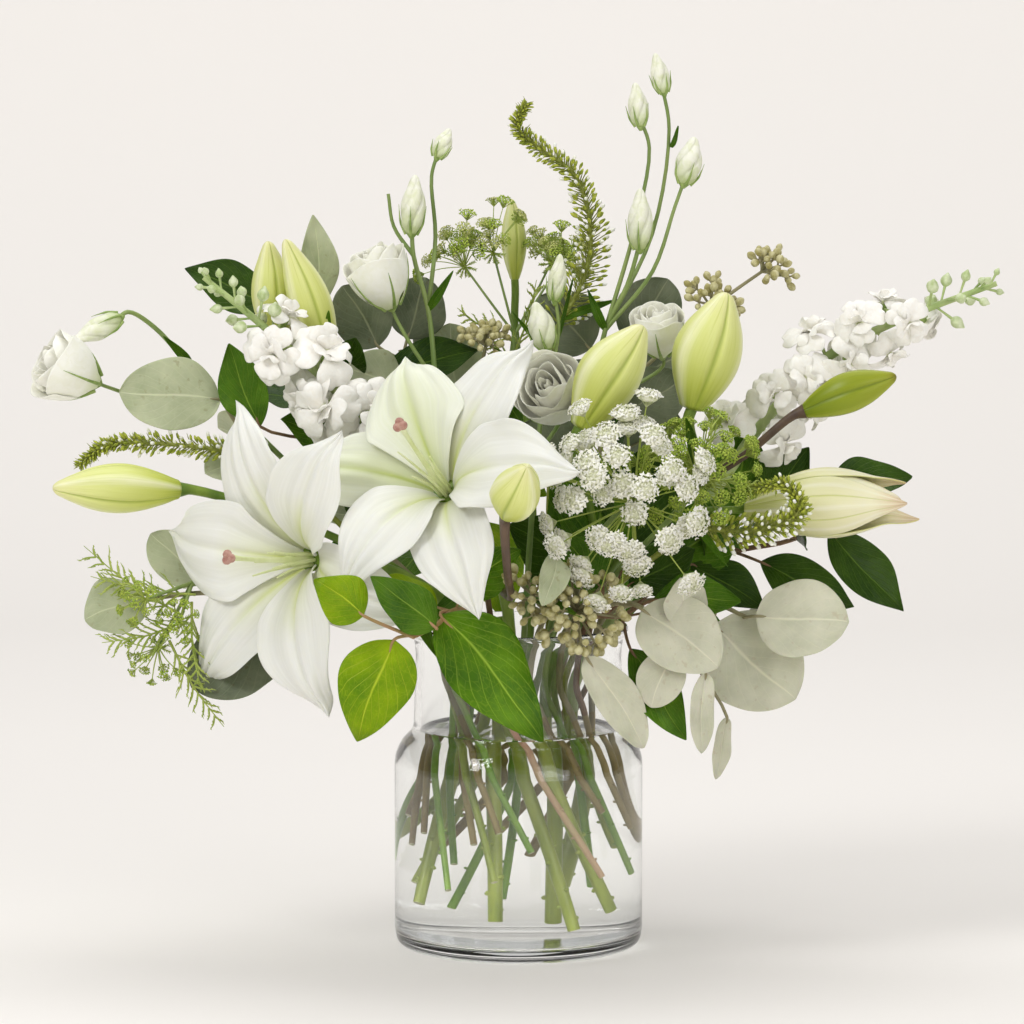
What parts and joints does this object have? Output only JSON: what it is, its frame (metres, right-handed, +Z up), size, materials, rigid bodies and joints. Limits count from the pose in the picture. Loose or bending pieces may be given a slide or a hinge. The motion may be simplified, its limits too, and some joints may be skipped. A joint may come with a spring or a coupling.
{
  "type": "vase of cut lilies",
  "caption": "Bunch of open white lilies, lily buds, lisianthus, stocks, laces, gum and salal foliage standing in a clear shouldered glass jar of water.",
  "frame": {"origin": "centre of the vase's flat underside, which stands on the floor", "axes": "+Z up along the vase's axis, -Y towards the side that the open lilies face, +X to the right as seen from that side"},
  "size_m": [0.5319, 0.3039, 0.4922],
  "materials": {
    "vase_glass": "clear",
    "water": "clear",
    "lily_petal": "satin",
    "lily_pistil": "satin",
    "lily_bud": "satin",
    "green_stem": "satin",
    "lisianthus_stem": "matte",
    "lisianthus_petal": "matte",
    "stock_floret": "matte",
    "lace_white": "matte",
    "lace_green": "matte",
    "loosestrife": "matte",
    "gum_leaf": "matte",
    "salal_leaf": "satin"
  },
  "bodies": {
    "root": {"gum_back_left": "gum_leaf", "gum_back_right": "gum_leaf", "gum_far_right": "gum_leaf", "gum_front": "gum_leaf", "gum_left": "gum_leaf", "gum_low_left": "gum_leaf", "gum_right": "gum_leaf", "lace_green": "lace_green", "lace_left": "lace_green", "lace_top": "lace_green", "lace_white": "lace_white", "lily_bud_back": "lily_bud", "lily_bud_far_left": "lily_bud", "lily_bud_front": "lily_bud", "lily_bud_green": "lily_bud", "lily_bud_opening": "lily_bud", "lily_bud_tall_left": "lily_bud", "lily_bud_tall_right": "lily_bud", "lily_bud_upper_left": "lily_bud", "lily_bud_upper_right": "lily_bud", "lily_centre_petal_1": "lily_petal", "lily_centre_petal_2": "lily_petal", "lily_centre_petal_3": "lily_petal", "lily_centre_petal_4": "lily_petal", "lily_centre_petal_5": "lily_petal", "lily_centre_petal_6": "lily_petal", "lily_centre_pistil": "lily_pistil", "lily_left_petal_1": "lily_petal", "lily_left_petal_2": "lily_petal", "lily_left_petal_3": "lily_petal", "lily_left_petal_4": "lily_petal", "lily_left_petal_5": "lily_petal", "lily_left_petal_6": "lily_petal", "lily_left_pistil": "lily_pistil", "lily_stem_back": "green_stem", "lily_stem_centre": "green_stem", "lily_stem_left": "green_stem", "lily_stem_right": "green_stem", "lily_stem_upper": "green_stem", "lisianthus_bloom_centre": "lisianthus_petal", "lisianthus_bloom_left": "lisianthus_petal", "lisianthus_bloom_right": "lisianthus_petal", "lisianthus_bloom_upper": "lisianthus_petal", "lisianthus_spray_centre": "lisianthus_stem", "lisianthus_spray_left": "lisianthus_stem", "lisianthus_spray_tall": "lisianthus_stem", "lisianthus_spray_upper": "lisianthus_stem", "loosestrife_left": "loosestrife", "loosestrife_right": "loosestrife", "loosestrife_top": "loosestrife", "salal_back_left": "salal_leaf", "salal_back_right": "salal_leaf", "salal_front": "salal_leaf", "salal_left": "salal_leaf", "salal_low_right": "salal_leaf", "salal_right": "salal_leaf", "stock_left": "stock_floret", "stock_right": "stock_floret", "vase": "vase_glass", "water": "water"}
  },
  "joints": []
}
